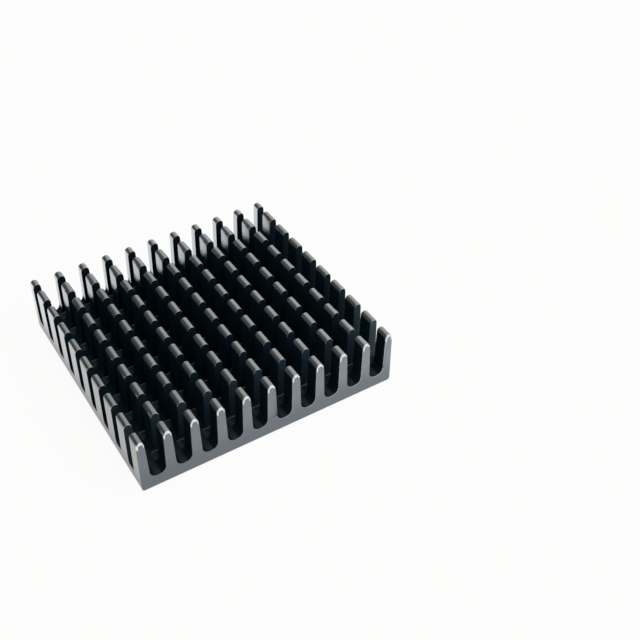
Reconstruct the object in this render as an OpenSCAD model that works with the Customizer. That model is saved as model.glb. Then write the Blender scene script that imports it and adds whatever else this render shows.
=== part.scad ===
// Pin fin heat sink: one piece of extruded aluminium. A comb-shaped bar is
// extruded along Y, and a gang of saw blades then crosses it along X, which
// leaves rows of flat pins with round tips on one thick base.
// The origin is the centre of the underside, and the pins point up, along +Z.

/* [Base] */
// Width of the bar, across the fins
base_w = 40; // [34:0.5:60]
// Length of the bar, along the fins
base_l = 38.3; // [20:0.1:80]
// Thickness of the base under the round valleys
floor_t = 1.85; // [1:0.05:3]
// Radius of the two long edges of the underside
edge_r = 0.45; // [0.1:0.05:0.8]

/* [Fins] */
// Height from the underside to the tips
total_h = 9.05; // [7:0.05:25]
// Number of fins across the bar
fin_count = 11; // [6:1:12]
// Thickness of a fin at its round tip
tip_t = 1.28; // [0.9:0.02:1.4]
// Taper of each side of a fin, in degrees
fin_draft = 1.5; // [0.5:0.1:2]
// Distance from a side of the base to the middle of the outer fin
end_inset = 0.61; // [0.5:0.01:0.9]
// Taper of the outer side of an outer fin, in degrees
side_draft = 0.8; // [0:0.1:1.2]
// Radius where a valley's floor turns up into the fins
valley_r = 1.08; // [0.3:0.02:1.2]

/* [Saw cuts] */
// Width of a cut
kerf = 1.6; // [1:0.05:2.4]
// Distance from one cut to the next
cut_pitch = 4.135; // [3.2:0.005:8]
// Length of the pins in front of the first cut
first_pin_l = 2.25; // [1.2:0.05:3]
// Shortest pin that may stand behind the last cut
least_pin_l = 1; // [0.6:0.1:2]
// Thickness of the base under a cut
web_t = 1.95; // [1.2:0.05:3]
// Radius of the two lower corners of a cut
cut_r = 0.2; // [0.05:0.05:0.4]

/* [Hidden] */

$fn = 96;
clear = 1;                     // how far a cutting shape runs past the metal

side_x = base_w / 2;
fin_pitch = (base_w - 2 * end_inset) / (fin_count - 1);

// Centre of the tip round of an inner fin
tip_r = tip_t / 2;
tip_z = total_h - tip_r;

// Half the thickness of an inner fin at height z: its flanks touch the tip round
function half_fin(z) = (tip_r + (tip_z - z) * sin(fin_draft)) / cos(fin_draft);

// Each valley has two floor rounds that touch its flanks and its floor. They
// are valley_r, or less where the valley is too narrow for two such rounds.
widest_r = (fin_pitch / 2 * cos(fin_draft) - tip_r - (tip_z - floor_t) * sin(fin_draft))
    / (1 - sin(fin_draft));
round_r = min(valley_r, widest_r - 0.02);
round_z = floor_t + round_r;
round_x = fin_pitch / 2 - half_fin(round_z) - round_r / cos(fin_draft);

// Height at which the floor rounds end and the straight flanks begin
flank_z = round_z - round_r * sin(fin_draft);
foot_x = half_fin(flank_z);

// Tip round of the outer fin on the +X side: it touches the level of the
// other tips, the fin's inner flank and its outer side.
inner_k = tan(45 - fin_draft / 2);
outer_k = tan(45 - side_draft / 2);
outer_tip_r = (end_inset - (total_h - flank_z) * tan(side_draft) + tip_r * inner_k)
    / (inner_k + outer_k);
outer_tip_x = (outer_tip_r - tip_r) * inner_k;

cut_count = floor((base_l - first_pin_l - kerf - least_pin_l) / cut_pitch) + 1;

// A fin's flanks rise from its two feet and end on its tip round
module fin_section(feet, drafts, x, r) {
    z = total_h - r;
    polygon([[feet[0], flank_z], [feet[1], flank_z],
             [x + r * cos(drafts[1]), z + r * sin(drafts[1])],
             [x - r * cos(drafts[0]), z + r * sin(drafts[0])]]);
    translate([x, z]) circle(r = r);
}

// The base up to the feet of the fins, with its two lower edges rounded
module base_section() {
    translate([-side_x, edge_r]) square([base_w, flank_z - edge_r]);
    translate([edge_r - side_x, 0]) square([base_w - 2 * edge_r, flank_z]);
    for (side = [-1, 1])
        translate([side * (side_x - edge_r), edge_r]) circle(r = edge_r);
}

// The round floor of a valley
module valley_section() {
    for (side = [-1, 1])
        translate([side * round_x, round_z]) circle(r = round_r);
    translate([-round_x, floor_t]) square([2 * round_x, flank_z + clear - floor_t]);
}

// The comb-shaped outline of the bar: x across the fins, y up
module comb_section() {
    difference() {
        base_section();
        for (i = [0:fin_count - 2])
            translate([(i + 0.5) * fin_pitch + end_inset - side_x, 0]) valley_section();
    }
    for (i = [1:fin_count - 2])
        translate([i * fin_pitch + end_inset - side_x, 0])
            fin_section([-foot_x, foot_x], [fin_draft, fin_draft], 0, tip_r);
    for (side = [0, 1])
        mirror([side, 0])
            translate([side_x - end_inset, 0])
                fin_section([-foot_x, end_inset], [fin_draft, side_draft],
                            outer_tip_x, outer_tip_r);
}

// The path of one saw blade: x along the bar, y up
module cut_section() {
    translate([0, web_t + cut_r]) square([kerf, total_h + clear - web_t - cut_r]);
    translate([cut_r, web_t]) square([kerf - 2 * cut_r, total_h + clear - web_t]);
    for (y = [cut_r, kerf - cut_r])
        translate([y, web_t + cut_r]) circle(r = cut_r);
}

module heat_sink() {
    color([0.2, 0.21, 0.22])
        difference() {
            rotate([90, 0, 0])
                linear_extrude(height = base_l, center = true) comb_section();
            for (i = [0:cut_count - 1])
                translate([-side_x - clear, first_pin_l + i * cut_pitch - base_l / 2, 0])
                    rotate([90, 0, 90])
                        linear_extrude(height = base_w + 2 * clear) cut_section();
        }
}

heat_sink();
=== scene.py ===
# %% [markdown]
# # A pin fin heat sink
# The object is one small chip cooler. An aluminium bar is pressed through a
# comb-shaped die, sawn to length, crossed by a gang of saw blades that leaves
# rows of flat pins, tumbled so that the sawn edges lose their burr, and dyed
# black in the anodising bath. The lesson makes it in the same order, because
# each step leaves its own surface: smooth where the die drew the metal,
# matt where a saw went, and bright along the edges.

# %% Load the frame
import math

import bpy
from mathutils import Matrix, Vector


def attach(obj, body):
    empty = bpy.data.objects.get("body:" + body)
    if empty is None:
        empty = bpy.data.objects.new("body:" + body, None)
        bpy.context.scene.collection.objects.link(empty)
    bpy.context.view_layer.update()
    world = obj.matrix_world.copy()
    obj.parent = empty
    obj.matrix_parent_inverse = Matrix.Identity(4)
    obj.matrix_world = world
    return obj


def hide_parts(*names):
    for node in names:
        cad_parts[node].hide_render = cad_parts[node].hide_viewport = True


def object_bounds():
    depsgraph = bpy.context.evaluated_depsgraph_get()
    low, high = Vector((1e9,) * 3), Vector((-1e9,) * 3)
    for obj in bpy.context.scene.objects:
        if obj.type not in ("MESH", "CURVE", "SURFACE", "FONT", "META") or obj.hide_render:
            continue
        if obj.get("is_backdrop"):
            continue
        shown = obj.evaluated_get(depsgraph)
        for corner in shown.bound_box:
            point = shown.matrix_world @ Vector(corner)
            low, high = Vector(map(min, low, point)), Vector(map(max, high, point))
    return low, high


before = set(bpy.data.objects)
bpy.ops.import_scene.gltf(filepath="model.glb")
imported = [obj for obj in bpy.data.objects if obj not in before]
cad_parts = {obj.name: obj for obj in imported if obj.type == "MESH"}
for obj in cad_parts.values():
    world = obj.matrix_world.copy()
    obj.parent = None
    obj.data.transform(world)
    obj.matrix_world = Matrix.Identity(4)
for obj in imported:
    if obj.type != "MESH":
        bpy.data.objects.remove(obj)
cad_low, cad_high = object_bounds()
print("CAD box in metres:", list(cad_low), list(cad_high))

# %% [markdown]
# ## Sizes
# The tools of edit mode have small fixed tolerances that suit a part some
# units across. So the piece is modelled with one unit for each millimetre and
# is shrunk to metres when it is done. The three outer sizes come from the CAD
# box, and the rest are the sizes of the die and of the saw blades.

# %% Sizes of the die and the saw
MM = 0.001
HAIR = 0.01  # what counts as touching, in millimetres
base_w, base_l, total_h = ((high - low) / MM for low, high in zip(cad_low, cad_high))

# the die: floor, lower edges, fins, tips and valleys
floor_t, edge_r = 1.85, 0.45
fin_count, end_inset = 11, 0.61
tip_t, valley_r = 1.28, 1.08
fin_draft, side_draft = math.radians(1.5), math.radians(0.8)
# the saw: width, distance and number of the cuts, and where they end
kerf, cut_pitch, cut_count = 1.6, 4.135, 9
first_pin_l, web_t, cut_r = 2.25, 1.95, 0.2

fin_pitch = (base_w - 2 * end_inset) / (fin_count - 1)
tip_z = total_h - tip_t / 2
first_fin_x = end_inset - base_w / 2
flank_z = floor_t + valley_r * (1 - math.sin(fin_draft))


def half_fin(z):
    """Half the thickness of a fin at height z."""
    return (tip_t / 2 + (tip_z - z) * math.sin(fin_draft)) / math.cos(fin_draft)


print(f"{fin_count} fins, {fin_pitch:.3f} mm apart, and {cut_count + 1} rows of pins")

# %% [markdown]
# ## Helpers for modelling by hand
# An operator works on whatever is selected, so every step first says what that
# is. `only` picks objects, and `choose` opens one object in edit mode with the
# corners, edges or faces that pass a test of their place and direction.

# %% Picking things


def only(part):
    """Leave object mode's selection at this one object, and make it active."""
    if bpy.context.object and bpy.context.object.mode != "OBJECT":
        bpy.ops.object.mode_set(mode="OBJECT")
    bpy.ops.object.select_all(action="DESELECT")
    part.select_set(True)
    bpy.context.view_layer.objects.active = part


def places(mesh, kind):
    """The place and the direction of each vertex, edge or face."""
    if kind == "VERT":
        return [(v.co, v.normal) for v in mesh.vertices]
    if kind == "FACE":
        return [(f.center, f.normal) for f in mesh.polygons]
    ends = [[mesh.vertices[i].co for i in e.vertices] for e in mesh.edges]
    return [((a + b) / 2, (b - a).normalized()) for a, b in ends]


def choose(part, kind, test):
    """Open the part in edit mode with what passes the test selected."""
    only(part)
    mesh = part.data
    groups = {"VERT": mesh.vertices, "EDGE": mesh.edges, "FACE": mesh.polygons}
    for group in groups.values():
        group.foreach_set("select", [False] * len(group))
    chosen = [bool(test(*place)) for place in places(mesh, kind)]
    groups[kind].foreach_set("select", chosen)
    bpy.context.tool_settings.mesh_select_mode = [kind == k for k in groups]
    bpy.ops.object.mode_set(mode="EDIT")
    return sum(chosen)


def done(part):
    """Close edit mode and say how large the mesh is now."""
    bpy.ops.object.mode_set(mode="OBJECT")
    print(f"{part.name}: {len(part.data.polygons)} faces")


# %% Blocks and modifiers


def block(name, size, middle):
    """A block at its size and place, with its object at the origin."""
    bpy.ops.object.select_all(action="DESELECT")
    bpy.ops.mesh.primitive_cube_add(size=1, location=middle, scale=size)
    part = bpy.context.object
    part.name = part.data.name = name
    bpy.ops.object.transform_apply(location=True, rotation=True, scale=True)
    return part


def modify(part, kind, **settings):
    """Add a modifier, set it and apply it."""
    only(part)
    tool = part.modifiers.new(kind.title(), kind)
    for setting, value in settings.items():
        setattr(tool, setting, value)
    bpy.ops.object.modifier_apply(modifier=tool.name)


def row_of(part, count, step):
    """Repeat a cutter along one direction."""
    modify(part, "ARRAY", count=count, use_relative_offset=False,
           use_constant_offset=True, constant_offset_displace=step)


def cut(part, cutter):
    """Take the cutter's space out of the part, and throw the cutter away."""
    modify(part, "BOOLEAN", operation="DIFFERENCE", solver="EXACT", object=cutter)
    bpy.data.objects.remove(cutter)
    print(f"{part.name}: {len(part.data.polygons)} faces after the cut")


def round_edges(part, radius, segments, test):
    """Turn the chosen edges into rounds whose ends touch both faces."""
    count = choose(part, "EDGE", test)
    bpy.ops.mesh.bevel(offset_type="OFFSET", offset=radius, segments=segments,
                       profile=0.5, affect="EDGES", clamp_overlap=True)
    done(part)
    print(f"  {count} edges rounded")


# %% [markdown]
# ## The bar
# The bar starts as a full block. Its sides stand straight up to the feet of
# the fins and lean in a little above them, so that the bar leaves the die
# without tearing. The block is cut level with the feet and its top is made
# narrower. The two long lower edges get the small round of the die.

# %% The bar
sink = block("heat_sink_dressed", (base_w, base_l, total_h), (0, 0, total_h / 2))
choose(sink, "FACE", lambda at, normal: True)
bpy.ops.mesh.bisect(plane_co=(0, 0, flank_z), plane_no=(0, 0, 1))
done(sink)

lean = (total_h - flank_z) * math.tan(side_draft)
choose(sink, "VERT", lambda at, normal: at.z > total_h - HAIR)
bpy.ops.transform.resize(value=(1 - 2 * lean / base_w, 1, 1),
                         center_override=(0, 0, 0))
done(sink)
round_edges(sink, edge_r, 6,
            lambda at, along: at.z < HAIR and abs(along.y) > 0.99)

# %% [markdown]
# ## The valleys
# Between two fins lies a deep valley with a round floor. One cutter has that
# shape: wider at its top, because the fins taper, and rounded along its two
# lower edges. Ten of them side by side leave eleven fins.

# %% The valleys
valley_top = total_h + 1
foot_w = fin_pitch - 2 * half_fin(floor_t)
mouth_w = fin_pitch - 2 * half_fin(valley_top)
cutter = block("valley_cutter", (foot_w, base_l + 2, valley_top - floor_t),
               (first_fin_x + fin_pitch / 2, 0, (valley_top + floor_t) / 2))
choose(cutter, "VERT", lambda at, normal: at.z > total_h)
bpy.ops.transform.resize(value=(mouth_w / foot_w, 1, 1),
                         center_override=(first_fin_x + fin_pitch / 2, 0, 0))
done(cutter)

# a round of radius r in a corner starts this far from the corner
reach = valley_r / math.tan(math.pi / 4 + fin_draft / 2)
round_edges(cutter, reach, 9,
            lambda at, along: at.z < floor_t + HAIR and abs(along.y) > 0.99)
row_of(cutter, fin_count - 1, (fin_pitch, 0, 0))
cut(sink, cutter)

# %% [markdown]
# ## The tips
# Each fin ends in a full round. It is made from the two long top edges of the
# fin: each is rounded by half the fin's thickness, so that the two rounds meet
# in the middle. The outer fins are a little thinner, because their outer side
# leans less, and get their own size.

# %% The tips
inner_half = half_fin(total_h)
outer_half = (end_inset - lean + inner_half) / 2
outer_x = base_w / 2 - 1.5 * end_inset - inner_half


def on_top(at, along):
    """True for the long edges along the tops of the fins."""
    return at.z > total_h - HAIR and abs(along.y) > 0.99


# two rounds of the full size would use up the face between them, so they stop
# just short of it and the corners between them are merged
almost = 0.999
round_edges(sink, inner_half * almost, 8,
            lambda at, along: on_top(at, along) and abs(at.x) < outer_x)
round_edges(sink, outer_half * almost, 8,
            lambda at, along: on_top(at, along) and abs(at.x) > outer_x)
choose(sink, "VERT", lambda at, normal: at.z > total_h - HAIR)
bpy.ops.mesh.remove_doubles(threshold=HAIR)
done(sink)

# %% [markdown]
# ## The saw cuts
# A gang of nine blades crosses the fins in one pass. The blades stop just
# above the valley floors, so the valleys run on as shallow channels from row
# to row, with flat lands between them. The first pins are shorter than the
# others and the last ones are the shortest: the gang isn't centred.

# %% The saw cuts
first_cut_y = first_pin_l + kerf / 2 - base_l / 2
blade = block("saw_blade", (base_w + 2, kerf, total_h),
              (0, first_cut_y, web_t + total_h / 2))
round_edges(blade, cut_r, 3,
            lambda at, along: at.z < web_t + HAIR and abs(along.x) > 0.99)
row_of(blade, cut_count, (0, cut_pitch, 0))
cut(sink, blade)

# %% [markdown]
# ## Loops under the tips
# The sawn edge around each front tip gets a wide bevel further on, and lower
# down only a narrow one. A bevel changes its width from one corner to the
# next, and the flanks have no corner between tip and foot, so the change would
# run down the whole pin. Two loops of edges just under the tips give it a
# short place to happen in.

# %% Loops under the tips
tip_end = tip_z - 0.3

for loop_z in (tip_end, tip_end - 0.25):
    choose(sink, "FACE", lambda at, normal: True)
    bpy.ops.mesh.bisect(plane_co=(0, 0, loop_z), plane_no=(0, 0, 1))
    done(sink)
    # on the flat sawn faces the loop would only split a face in two
    choose(sink, "EDGE",
           lambda at, along: abs(at.z - loop_z) < HAIR and abs(along.x) > 0.99)
    bpy.ops.mesh.dissolve_edges(use_verts=False)
    done(sink)

# %% [markdown]
# ## Which surface is which
# Four surfaces are told apart by where a face lies and where it looks: the
# skin that the die left, the sawn ends and cuts, the brushed underside, and
# later the bright edges that tumbling leaves.

# %% Name the surfaces
SKIN, SAWN, EDGE, BASE = range(4)
NAMES = ("drawn_skin", "sawn_face", "broken_edge", "brushed_base")


def surface_of(face):
    """Which of the four surfaces a face belongs to."""
    on_land = web_t - HAIR < face.center.z < web_t + cut_r + HAIR
    if face.normal.z < -0.99:
        return BASE
    if abs(face.normal.y) > 0.2:
        return SAWN
    if on_land and face.normal.z > 0.999:
        return SAWN
    return SKIN


for name in NAMES:
    sink.data.materials.append(bpy.data.materials.new(name))
for face in sink.data.polygons:
    face.material_index = surface_of(face)
for kind, name in enumerate(NAMES):
    print(name, sum(face.material_index == kind for face in sink.data.polygons))

# %% [markdown]
# ## The tumbled edges
# Every sharp outer edge is broken by a small bevel. The tips of the front row
# stand proud in the tumbling drum, so they lose the most. The bevel modifier
# takes its width from a weight on each edge. An edge is an outer edge if the
# next face falls away from the plane of this one.

# %% Weigh the edges
widest_bevel = 0.26
front_tip_weight, tip_weight, side_weight = 1, 0.35, 0.25


def edge_faces(mesh):
    """The faces on the two sides of each edge."""
    found = {}
    for face in mesh.polygons:
        for a, b in face.edge_keys:
            found.setdefault((a, b), []).append(face)
    return found


def weight_of(mesh, edge, faces):
    """How much of the widest bevel an edge gets, from 0 to 1."""
    if len(faces) != 2 or faces[0].normal.dot(faces[1].normal) > 0.8:
        return 0
    first, second = faces
    ring = list(first.vertices)
    a, b = edge.vertices
    if ring[(ring.index(a) + 1) % len(ring)] != b:
        a, b = b, a
    start, end = mesh.vertices[a].co, mesh.vertices[b].co
    if first.normal.cross(end - start).dot(second.normal) > -1e-6:
        return 0
    middle = (start + end) / 2
    in_cut = abs(middle.y) < base_l / 2 - HAIR
    if middle.z < edge_r or in_cut and middle.z < web_t + cut_r + 0.05:
        return 0
    if middle.z > tip_end:
        return front_tip_weight if middle.y < HAIR - base_l / 2 else tip_weight
    return side_weight


mesh = sink.data
weights = mesh.attributes.new("bevel_weight_edge", "FLOAT", "EDGE")
beside = edge_faces(mesh)
values = [weight_of(mesh, e, beside[tuple(sorted(e.vertices))]) for e in mesh.edges]
weights.data.foreach_set("value", values)
print("edges to break:", sum(v > 0 for v in values), "of", len(values))

# %% Break the edges
modify(sink, "BEVEL", limit_method="WEIGHT", width=widest_bevel, segments=2,
       offset_type="OFFSET", material=EDGE, miter_outer="MITER_SHARP",
       use_clamp_overlap=False, loop_slide=True)
bpy.ops.object.shade_smooth_by_angle(angle=math.radians(40))
modify(sink, "WEIGHTED_NORMAL", keep_sharp=True, weight=50)
print(f"{sink.name}: {len(sink.data.polygons)} faces with their edges broken")

# below the tips, the edges inside and those that face right stay as sawn
for face in sink.data.polygons:
    inside = abs(face.center.y) < base_l / 2 - 0.3
    if face.material_index == EDGE and face.center.z < tip_z:
        if inside or face.normal.x > 0.3:
            face.material_index = SAWN

# %% [markdown]
# ## Back to metres
# The piece is whole now, so it shrinks to its real size, and the scale is
# applied to the mesh so that the object itself stays unscaled. Then it is
# handed to the frame: it moves with the one body and stands for the plain
# solid of the same name.

# %% Shrink to metres
only(sink)
sink.scale = (MM, MM, MM)
bpy.ops.object.transform_apply(location=True, rotation=True, scale=True)
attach(sink, "root")
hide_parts("heat_sink")
print("size in metres:", [round(side, 5) for side in sink.dimensions])

# %% [markdown]
# ## Writing finishes
# A finish is a small sum of patterns. The class below wraps one socket of a
# material's nodes, so that a sum of values can be written as a sum, and the
# method `node` makes any other node.

# %% Shader maths


class Value:
    """One socket of a material's nodes. Sums and products add Math nodes."""

    def __init__(self, tree, socket=None):
        self.tree, self.socket = tree, socket

    def node(self, kind, settings=None, inputs=None, output=0):
        """Make a node, set it, feed its sockets and give back one output."""
        made = self.tree.nodes.new(kind)
        for setting, value in (settings or {}).items():
            setattr(made, setting, value)
        for name, value in (inputs or {}).items():
            if isinstance(value, Value):
                self.tree.links.new(value.socket, made.inputs[name])
            elif hasattr(value, "__len__") and made.inputs[name].type == "RGBA":
                made.inputs[name].default_value = (*value, 1)
            else:
                made.inputs[name].default_value = value
        return Value(self.tree, made.outputs[output])

    def maths(self, operation, first, second, clamp=False):
        """Make a Math node from two values or numbers."""
        return self.node("ShaderNodeMath",
                         {"operation": operation, "use_clamp": clamp},
                         {0: first, 1: second})

    def __add__(self, other):
        return self.maths("ADD", self, other)

    def __radd__(self, other):
        return self.maths("ADD", other, self)

    def __sub__(self, other):
        return self.maths("SUBTRACT", self, other)

    def __rsub__(self, other):
        return self.maths("SUBTRACT", other, self)

    def __mul__(self, other):
        return self.maths("MULTIPLY", self, other)

    def __rmul__(self, other):
        return self.maths("MULTIPLY", other, self)

    def clamped(self):
        """The same value, kept between 0 and 1."""
        return self.maths("MULTIPLY", self, 1, clamp=True)


print("operators of a value: + - * and clamped()")

# %% [markdown]
# ## Patterns
# Metal surfaces differ by where they are and by fine marks along the way a
# tool went. So each finish is made from two things: soft steps along the
# object's own directions, and noise that is drawn out along one of them. Both
# use Object coordinates, so the marks stay where they are when the object or
# the camera turns, and no image is needed.

# %% Patterns


def new_finish(name):
    """Empty the material of this name, and give a value to start nodes from."""
    finish = bpy.data.materials.get(name) or bpy.data.materials.new(name)
    finish.use_nodes = True
    finish.node_tree.nodes.clear()
    return Value(finish.node_tree)


def object_place(start):
    """The place on the object, in metres, and its three parts in millimetres."""
    place = start.node("ShaderNodeTexCoord", output="Object")
    parts = [start.node("ShaderNodeSeparateXYZ", None, {"Vector": place}, axis)
             for axis in "XYZ"]
    return place, [part * (1 / MM) for part in parts]


def grain(place, stretch):
    """Noise from 0 to 1, drawn out by the three scales in stretch, per metre."""
    drawn = place.node("ShaderNodeMapping", None,
                       {"Vector": place, "Scale": stretch})
    return place.node("ShaderNodeTexNoise", None,
                      {"Vector": drawn, "Scale": 1, "Detail": 3, "Roughness": 0.55},
                      "Fac")


def step(value, low, high):
    """From 0 where the value is at low to 1 where it is at high, smoothly."""
    return value.node("ShaderNodeMapRange", {"interpolation_type": "SMOOTHSTEP"},
                      {"Value": value, "From Min": low, "From Max": high}, "Result")


def blend(share, first, second):
    """A mix of two colours: the first where the share is 0."""
    return share.node("ShaderNodeMix", {"data_type": "RGBA"},
                      {"Factor": share, 6: first, 7: second}, 2)


def tone(red, green, blue):
    """A colour from its display values, 0 to 255, as the shader wants it."""
    return tuple(((c / 255 + 0.055) / 1.055) ** 2.4 for c in (red, green, blue))


grey = [round(c, 3) for c in tone(128, 128, 128)]
print("a middle grey of 128 is", grey, "to the shader")

# %% Two more helpers


def show(start, tree_output, shader):
    """Link the finished shader to the output of its node tree."""
    output = start.tree.nodes.new(tree_output)
    start.tree.links.new(shader.socket, output.inputs["Surface"])
    print("nodes:", len(start.tree.nodes))


def metal(start, colour, roughness, bump=None, depth=0, others=None):
    """Feed the metal shader and the material's output."""
    inputs = {"Base Color": colour, "Roughness": roughness, "Metallic": 1.0}
    if bump:
        inputs["Normal"] = start.node("ShaderNodeBump", None,
                                      {"Height": bump, "Distance": depth})
    shader = start.node("ShaderNodeBsdfPrincipled", None,
                        {**inputs, **(others or {})})
    show(start, "ShaderNodeOutputMaterial", shader)


# %% [markdown]
# ## The drawn skin
# The fins' sides and tips are the skin that the die left: very fine lines along the bar,
# under the clear glassy layer of the anodising. That layer is a coat with a high index,
# which makes the sides bright where they are seen at a slant. On the tips the dye is
# rubbed off. The outer sides are coloured as bare metal too, and their pale colour is a
# painted reflection of the white floor. Between the fins the dye is still there, and its
# near-black is partly painted shade in the recesses. The places are worked out first, as
# masks from 0 to 1, and all of the finish is mixed by them.

# %% Places on the skin
OXIDE = {"Coat IOR": 1.6, "Coat Roughness": 0.1, "Specular IOR Level": 0.0}

start = new_finish("drawn_skin")
place, (x, y, z) = object_place(start)
lines = grain(place, (2600, 260, 2600))
streaks = grain(place, (300, 2600, 160))

across = (x + base_w / 2) * (1 / base_w)
from_middle = start.maths("ABSOLUTE", x, 0)
outer = step(from_middle, base_w / 2 - 0.35, base_w / 2 - 0.15)
between = step(from_middle, base_w / 2 - 0.3, base_w / 2 - 0.7)
tip = step(z, tip_z - 0.1, tip_z + 0.4)
low = step(z, 5.0, 0.6)
last_rows = step(y, 12.2, 13.2)
last_row = step(y, 16.6, 17.4)
print("masks of the skin:", len(start.tree.nodes), "nodes")

# %% [markdown]
# ## Open skin, with painted light and shade
# The outer sides carry a painted reflection of the white floor, which grows brighter
# towards the back, and painted shade along the base, where their colour and their coat are
# darker. The tips are a middle grey, a little darker on the left and on the last fin. The
# flanks of the last two rows are pale with painted light.

# %% Open skin, with painted light and shade
last_fin = step(x, 18.3, 18.7)
# painted reflection of the white floor: the outer sides grow brighter towards the back
away = step(y, -12, 18)
painted_floor_reflection = (away + 0.3 * (streaks - 0.5)).clamped()
side_colour = blend(painted_floor_reflection, tone(122, 123, 123), tone(240, 242, 244))
# painted shade: the outer sides turn dark grey towards the base
side_colour = blend(0.9 * low, side_colour, tone(88, 88, 86))

# the tips grow lighter to the right and darker on the last fin
tip_tone_mix = (0.65 * across + 0.5 * lines - 0.4 * last_fin).clamped()
tip_colour = blend(tip_tone_mix, tone(127, 130, 129), tone(174, 177, 175))
open_colour = blend(tip * (1 - outer), side_colour, tip_colour)
# painted light: the flanks of the last two rows are pale
pale = blend(last_row, tone(184, 187, 191), tone(212, 216, 221))
open_colour = blend(last_rows * (1 - tip) * (1 - outer), open_colour, pale)
print("bare skin:", len(start.tree.nodes), "nodes so far")

# %% [markdown]
# ## Dyed skin
# Between the fins the blue-black colour begins right under the tips. It is partly the
# black dye and partly painted shade, which fills the recesses. In the last two rows it
# begins only far down, below their painted light. Dye sits in the glassy layer and hides
# the metal, so where this colour lies the skin is neither metallic nor coated.

# %% Dye and painted shade between the fins
# where the near-black begins: painted shade right under the tips, and only far down in the
# last two rows
from_fin = start.maths("FLOORED_MODULO", x - first_fin_x + fin_pitch / 2, fin_pitch)
left_flank = step(z, tip_z + 0.36, tip_z + 0.12)
right_flank = step(from_fin, fin_pitch / 2 + 0.36, fin_pitch / 2 + 0.5)
under_tip = start.maths("MAXIMUM", left_flank, right_flank)
halfway = step(z - 0.6 * across, 6.6, 4.8)
far_down = step(z, 3.6, 2.7)
depth = (under_tip + last_rows * (halfway - under_tip)
         + last_row * (far_down - halfway))
deep = (between * depth).clamped()

# painted reflection: a paler strip along the round floor of each valley
channel = step(z, 1.97, 1.87)
dye_and_painted_light = blend(step(z, 8, 3), (0.007, 0.021, 0.031), (0.011, 0.030, 0.044))
dye_and_painted_light = blend(step(y, -15, -18), dye_and_painted_light, (0.006, 0.013, 0.017))
dye_and_painted_light = blend(channel, dye_and_painted_light, (0.025, 0.034, 0.040))
# the coat fades where the skin is near black, and is weaker low on the outer sides as
# painted shade
gloss = start.maths("POWER", 1 - deep, 0.35) * (1 - 0.55 * low * outer)
metal(start, blend(deep, open_colour, dye_and_painted_light), 0.17 + 0.05 * lines, lines, 1e-6,
      {**OXIDE, "Metallic": 1 - deep, "Coat Weight": gloss})

# %% [markdown]
# ## The sawn faces
# A saw leaves fine straight scratches across the fin and a matt grey. The two ends of the
# bar were cut last and stay bare. Painted light makes them lighter up the fins and to the
# right.

# %% The sawn ends
start = new_finish("sawn_face")
place, (x, y, z) = object_place(start)
marks = grain(place, (700, 700, 4200))
across = (x + base_w / 2) * (1 / base_w)
from_middle = start.maths("ABSOLUTE", y, 0)
end_face = step(from_middle, base_l / 2 - 0.12, base_l / 2 - 0.02)
up = step(z, 1.2, 5.5)
# painted light: the bare ends grow lighter up the fins and to the right
light = 0.02 + 0.13 * across + up * (0.28 + 0.5 * across) + 0.2 * (marks - 0.5)
end_colour = blend(light.clamped(), (0.124, 0.142, 0.170), (0.258, 0.286, 0.338))
print("sawn ends:", len(start.tree.nodes), "nodes so far")

# %% [markdown]
# ## Inside the cuts
# The faces inside the cuts are dyed, and painted light makes them a little paler in the
# first rows and on the outer fin on the right. The flat lands at the foot of the cuts get
# a thin painted highlight on the round that the corner of the blade left.

# %% Inside the cuts
# painted light: the faces inside the cuts are paler in the first rows and on the outer fin
# on the right
first_row = step(y, -9, -15.5)
first_rows = step(y, -5, -17)
inner_dye_lit_in_front = blend(first_row, (0.005, 0.011, 0.016), (0.019, 0.031, 0.042))
outer_dye_lit_in_front = blend(first_rows, (0.009, 0.017, 0.023), (0.060, 0.084, 0.102))
dye_and_painted_light = blend(step(x, 18.2, 18.8), inner_dye_lit_in_front, outer_dye_lit_in_front)

land = step(z, 2.2, 2.1)
inner_fin = step(start.maths("ABSOLUTE", x, 0), 18.9, 18.6)
# painted highlight: a thin pale line on the round at the foot of each land
painted_crease_highlight = land * step(z, 1.96, 2.0) * inner_fin
land_colour = blend(painted_crease_highlight, (0.021, 0.030, 0.034), (0.13, 0.15, 0.16))
dye_and_painted_light = blend(land, dye_and_painted_light, land_colour)
gloss = (end_face + 0.35 * land).clamped()
metal(start, blend(end_face, dye_and_painted_light, end_colour), 0.38 + 0.1 * marks, marks, 2e-6,
      {**OXIDE, "Coat Roughness": 0.3, "Metallic": end_face, "Coat Weight": gloss})

# %% [markdown]
# ## The broken edges
# Tumbling wears through the dye along the sharp edges first. The front tips
# are nearly white, the other tips are bare grey metal, the upright edges of
# the two ends are darker on the left, and a fine noise in the roughness stands
# for the many small dents of the tumbling stones.

# %% The broken edges
start = new_finish("broken_edge")
place, (x, y, z) = object_place(start)
wear = grain(place, (1500, 1500, 1500))
on_tip = step(z, tip_z - 0.5, tip_z - 0.3)
front = step(y, 0.5 - base_l / 2, 0.3 - base_l / 2)
from_fin = start.maths("FLOORED_MODULO", x - first_fin_x + fin_pitch / 2, fin_pitch)
right = step(from_fin, fin_pitch / 2 + 0.25, fin_pitch / 2 + 0.5)
shoulder = right * step(z, tip_z + 0.45, tip_z + 0.2)
tip_edge = blend(front * (1 - 0.6 * shoulder),
                 tone(190, 193, 194), tone(248, 249, 250))
low_edge = blend(step(x, -16, 18), tone(128, 133, 139), tone(205, 208, 211))
metal(start, blend(on_tip, low_edge, tip_edge), 0.26 + 0.1 * wear)

# %% [markdown]
# ## The underside
# The face that lies on the chip is ground flat on a belt, so its marks run
# along the bar in long thin lines. Nothing on it is printed or engraved.

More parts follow.
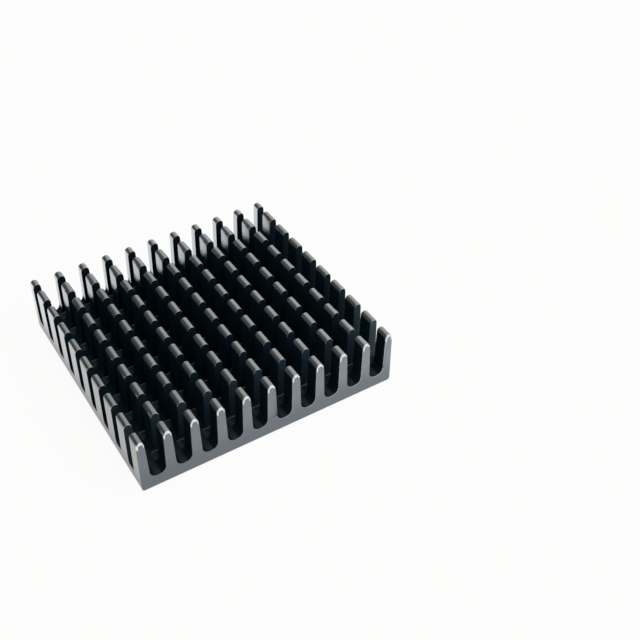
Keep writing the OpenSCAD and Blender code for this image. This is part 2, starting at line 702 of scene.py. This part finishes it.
# %% The brushed underside
start = new_finish("brushed_base")
place = start.node("ShaderNodeTexCoord", output="Object")
brush = grain(place, (9000, 120, 9000))
base_colour = blend(brush, tone(118, 117, 112), tone(142, 141, 136))
metal(start, base_colour, 0.3 + 0.12 * brush, brush, 1e-6)
print("finishes on the piece:", [slot.material.name for slot in sink.material_slots])

# %% [markdown]
# ## The floor
# The object stands on a white sweep. A sweep that is lit until it is pure
# white would flood the object with light, so the floor glows for the camera
# and half as much for reflections, and is plain white paper for everything
# else. The paper's share keeps the object's soft shadow. In the narrow gap at
# the foot of the object light can't reach the paper, which the node for
# ambient occlusion finds.

# %% Floor
bpy.ops.object.select_all(action="DESELECT")
bpy.ops.mesh.primitive_plane_add(size=4, location=(0, 0, 0))
floor = bpy.context.object
floor.name = "floor"
floor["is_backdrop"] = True

start = new_finish("pale_floor")
paper = start.node("ShaderNodeBsdfDiffuse", None, {"Color": (0.8, 0.8, 0.79)})
glow = start.node("ShaderNodeEmission", None,
                  {"Color": (1.0, 1.0, 0.992), "Strength": 1.0})
camera_ray = start.node("ShaderNodeLightPath", output="Is Camera Ray")
glossy_ray = start.node("ShaderNodeLightPath", output="Is Glossy Ray")
open_air = start.node("ShaderNodeAmbientOcclusion", {"samples": 16},
                      {"Distance": 0.2 * MM}, "AO")
share = (camera_ray * 0.94 + glossy_ray * 0.5).clamped() * open_air
show(start, "ShaderNodeOutputMaterial",
     start.node("ShaderNodeMixShader", None, {0: share, 1: paper, 2: glow}))
floor.data.materials.append(bpy.data.materials["pale_floor"])
print("floor:", tuple(floor.dimensions))

# %% [markdown]
# ## The room
# Metal shows what stands around it. The room is pale all over, with one darker
# side to the left and behind, and that side gives each tip its dark stripe.
# The camera itself sees white paper.

# %% World
dark_side = (-0.75, 0.6, 0.1)

world = bpy.data.worlds.new("studio")
bpy.context.scene.world = world
world.use_nodes = True
world.node_tree.nodes.clear()
start = Value(world.node_tree)
looking = start.node("ShaderNodeTexCoord", output="Generated")
towards_dark = start.node("ShaderNodeVectorMath", {"operation": "DOT_PRODUCT"},
                          {0: looking, 1: dark_side}, "Value")
bright = step(towards_dark, 0.8, 0.25)
sky = start.node("ShaderNodeBackground", None,
                 {"Color": (0.96, 1, 1.02), "Strength": 0.13 + 0.66 * bright})
paper = start.node("ShaderNodeBackground", None,
                   {"Color": (0.985, 0.985, 0.98), "Strength": 1.0})
camera_ray = start.node("ShaderNodeLightPath", output="Is Camera Ray")
show(start, "ShaderNodeOutputWorld",
     start.node("ShaderNodeMixShader", None, {0: camera_ray, 1: sky, 2: paper}))

# %% [markdown]
# ## The lamp
# One large soft lamp in front, to the right and above gives the sawn front its
# even grey. It is weak, because the room already gives most of the light.

# %% Lamp
lamp_side, lamp_distance = Vector((0.40, -0.67, 0.62)).normalized(), 0.4
lamp_size, lamp_watts = 0.3, 0.55

bpy.ops.object.select_all(action="DESELECT")
bpy.ops.object.light_add(type="AREA", location=lamp_side * lamp_distance)
lamp = bpy.context.object
lamp.name = "key_lamp"
lamp.rotation_euler = lamp_side.to_track_quat("Z", "Y").to_euler()
lamp.data.size, lamp.data.energy = lamp_size, lamp_watts
print(lamp.name, "stands at", [round(c, 3) for c in lamp.location])

# %% [markdown]
# ## The camera
# The camera looks down on the object from the front left. Its place is given
# by an angle around the object, an angle above the floor and a distance, and
# it is turned a little about its own axis, as a hand-held camera is. The
# object lies to the left of the middle, so the target is near its right side.

# %% Camera
azimuth, elevation = math.radians(-32.933), math.radians(41.93)
roll = math.radians(0.906)
distance, target = 155.738 * MM, Vector((18.177, -2.739, 0)) * MM

back = Vector((math.sin(azimuth) * math.cos(elevation),
               -math.cos(azimuth) * math.cos(elevation), math.sin(elevation)))
right = back.cross(Vector((0, 0, -1))).normalized()
up = right.cross(-back)
turned_right = right * math.cos(roll) + up * math.sin(roll)
turned_up = up * math.cos(roll) - right * math.sin(roll)
eye = target + back * distance

bpy.ops.object.select_all(action="DESELECT")
bpy.ops.object.camera_add(location=eye)
camera = bpy.context.object
camera.matrix_world = Matrix((turned_right, turned_up, back)).transposed().to_4x4()
camera.location = eye
camera.data.sensor_width, camera.data.lens = 36, 55.221
camera.data.clip_start, camera.data.clip_end = 0.01, 10
bpy.context.scene.camera = camera
bpy.context.scene.view_settings.view_transform = "Standard"
print("the camera stands at", [round(c, 4) for c in eye])

# %% [markdown]
# ## Finish
# The box of the CAD solid and the box of the piece are printed side by side.
# The piece may not be larger than the solid that it stands for.

# %% Finish
low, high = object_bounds()
print("visual box in metres:", list(low), list(high))
